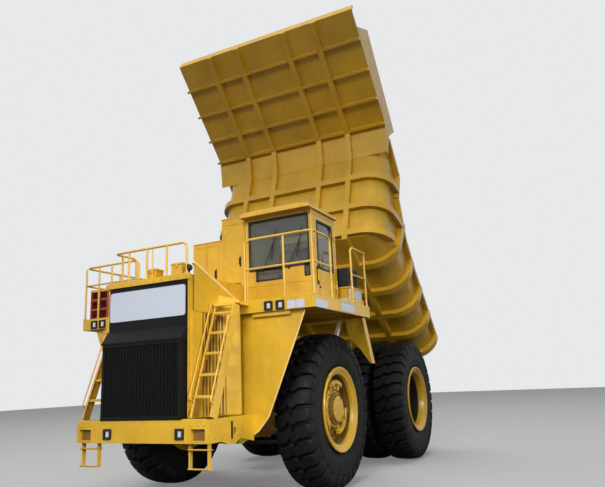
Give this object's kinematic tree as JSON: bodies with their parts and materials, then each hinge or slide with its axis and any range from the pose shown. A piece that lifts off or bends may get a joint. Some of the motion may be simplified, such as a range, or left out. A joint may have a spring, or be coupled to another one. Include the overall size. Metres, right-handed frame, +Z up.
{
  "type": "mining dump truck",
  "caption": "Rigid two-axle mining dump truck with raised bed, canopy over a side cab, black radiator and deep-lug tyres.",
  "frame": {"origin": "on the ground under the middle of the truck's box, bed raised", "axes": "+Z up, -Y the truck's front, +X the truck's left side"},
  "size_m": [4.954, 8.8089, 10.0272],
  "materials": {
    "body_paint": "satin industrial yellow",
    "rail_paint": "satin light yellow",
    "white_paint": "satin white",
    "black_paint": "satin black",
    "red_paint": "matte red-brown",
    "dark_iron": "satin dark paint",
    "window_glass": "clear tinted",
    "dark_plastic": "matte black",
    "lamp_glass": "clear lens in a dark case",
    "tyre_rubber": "matte rubber",
    "chrome_rod": "bright chrome"
  },
  "bodies": {
    "chassis": {"frame": "body_paint", "front_bumper": "body_paint", "radiator": "black_paint", "hood": "body_paint", "engine_block": "dark_iron", "deck_left": "body_paint", "deck_right": "body_paint", "fenders": "body_paint", "ladders": "rail_paint", "handrail_front": "rail_paint", "handrail_left": "rail_paint", "handrail_right": "rail_paint", "control_cabinet": "body_paint", "grid_box": "red_paint", "deck_boxes": "white_paint", "cab_shell": "body_paint", "cab_roof": "rail_paint", "cab_glass": "window_glass", "cab_interior": "dark_plastic", "lamps": "lamp_glass", "side_tanks": "body_paint", "front_struts": "body_paint", "rear_axle": "body_paint", "rear_struts": "body_paint"},
    "door": {"cab_door": "body_paint", "door_glass": "window_glass"},
    "knuckle_l": {"knuckle_left": "body_paint"},
    "knuckle_r": {"knuckle_right": "body_paint"},
    "steering_link": {"tie_rod": "dark_iron"},
    "front_wheel_l": {"front_tyre_left": "tyre_rubber", "front_rim_left": "body_paint"},
    "front_wheel_r": {"front_tyre_right": "tyre_rubber", "front_rim_right": "body_paint"},
    "rear_wheels_l": {"rear_tyres_left": "tyre_rubber", "rear_rims_left": "body_paint"},
    "rear_wheels_r": {"rear_tyres_right": "tyre_rubber", "rear_rims_right": "body_paint"},
    "bed": {"bed_shell": "body_paint", "bed_ribs": "body_paint", "bed_pivots": "body_paint", "bed_canopy": "body_paint"},
    "barrel_l": {"hoist_barrel_left": "body_paint"},
    "barrel_r": {"hoist_barrel_right": "body_paint"},
    "rod_l": {"hoist_rod_left": "chrome_rod"},
    "rod_r": {"hoist_rod_right": "chrome_rod"}
  },
  "joints": [
    {"name": "bed_tilt", "type": "hinge", "parent": "chassis", "child": "bed", "pos_m": [0, 2.962, 2.3], "axis": [-1, 0, 0], "range_deg": [-41, 0]},
    {"name": "hoist_swing_left", "type": "hinge", "parent": "chassis", "child": "barrel_l", "pos_m": [0.67, 0.162, 0.95], "axis": [-1, 0, 0], "range_deg": [-5, 5]},
    {"name": "hoist_swing_right", "type": "hinge", "parent": "chassis", "child": "barrel_r", "pos_m": [-0.67, 0.162, 0.95], "axis": [-1, 0, 0], "range_deg": [-5, 5]},
    {"name": "hoist_stroke_left", "type": "slide", "parent": "barrel_l", "child": "rod_l", "axis": [0, 0.5878, 0.809], "range_m": [-1.068, 0.01]},
    {"name": "hoist_stroke_right", "type": "slide", "parent": "barrel_r", "child": "rod_r", "axis": [0, 0.5878, 0.809], "range_m": [-1.068, 0.01]},
    {"name": "steer_left", "type": "hinge", "parent": "chassis", "child": "knuckle_l", "pos_m": [1.11, -1.438, 1.35], "axis": [0, 0, 1], "range_deg": [-30, 30]},
    {"name": "steer_right", "type": "hinge", "parent": "chassis", "child": "knuckle_r", "pos_m": [-1.11, -1.438, 1.35], "axis": [0, 0, 1], "range_deg": [-30, 30]},
    {"name": "steering_link_swing", "type": "hinge", "parent": "knuckle_l", "child": "steering_link", "pos_m": [1.11, -0.838, 0.8], "axis": [0, 0, 1], "range_deg": [-30, 30]},
    {"name": "front_wheel_left_spin", "type": "hinge", "parent": "knuckle_l", "child": "front_wheel_l", "pos_m": [1.69, -1.438, 1.34889], "axis": [1, 0, 0], "continuous": true},
    {"name": "front_wheel_right_spin", "type": "hinge", "parent": "knuckle_r", "child": "front_wheel_r", "pos_m": [-1.69, -1.438, 1.34889], "axis": [1, 0, 0], "continuous": true},
    {"name": "rear_wheels_left_spin", "type": "hinge", "parent": "chassis", "child": "rear_wheels_l", "pos_m": [1.5, 2.632, 1.34889], "axis": [1, 0, 0], "continuous": true},
    {"name": "rear_wheels_right_spin", "type": "hinge", "parent": "chassis", "child": "rear_wheels_r", "pos_m": [-1.5, 2.632, 1.34889], "axis": [1, 0, 0], "continuous": true},
    {"name": "cab_door_hinge", "type": "hinge", "parent": "chassis", "child": "door", "pos_m": [2.21, -1.758, 3.9], "axis": [0, 0, 1], "range_deg": [0, 80]}
  ],
  "couplings": [
    {"joint": "hoist_swing_left", "follows": "bed_tilt", "ratio": -0.07115},
    {"joint": "hoist_swing_right", "follows": "bed_tilt", "ratio": -0.07115},
    {"joint": "hoist_stroke_left", "follows": "bed_tilt", "m_per_rad": 1.4791},
    {"joint": "hoist_stroke_right", "follows": "bed_tilt", "m_per_rad": 1.4791},
    {"joint": "steer_right", "follows": "steer_left", "ratio": 1},
    {"joint": "steering_link_swing", "follows": "steer_left", "ratio": -1}
  ]
}
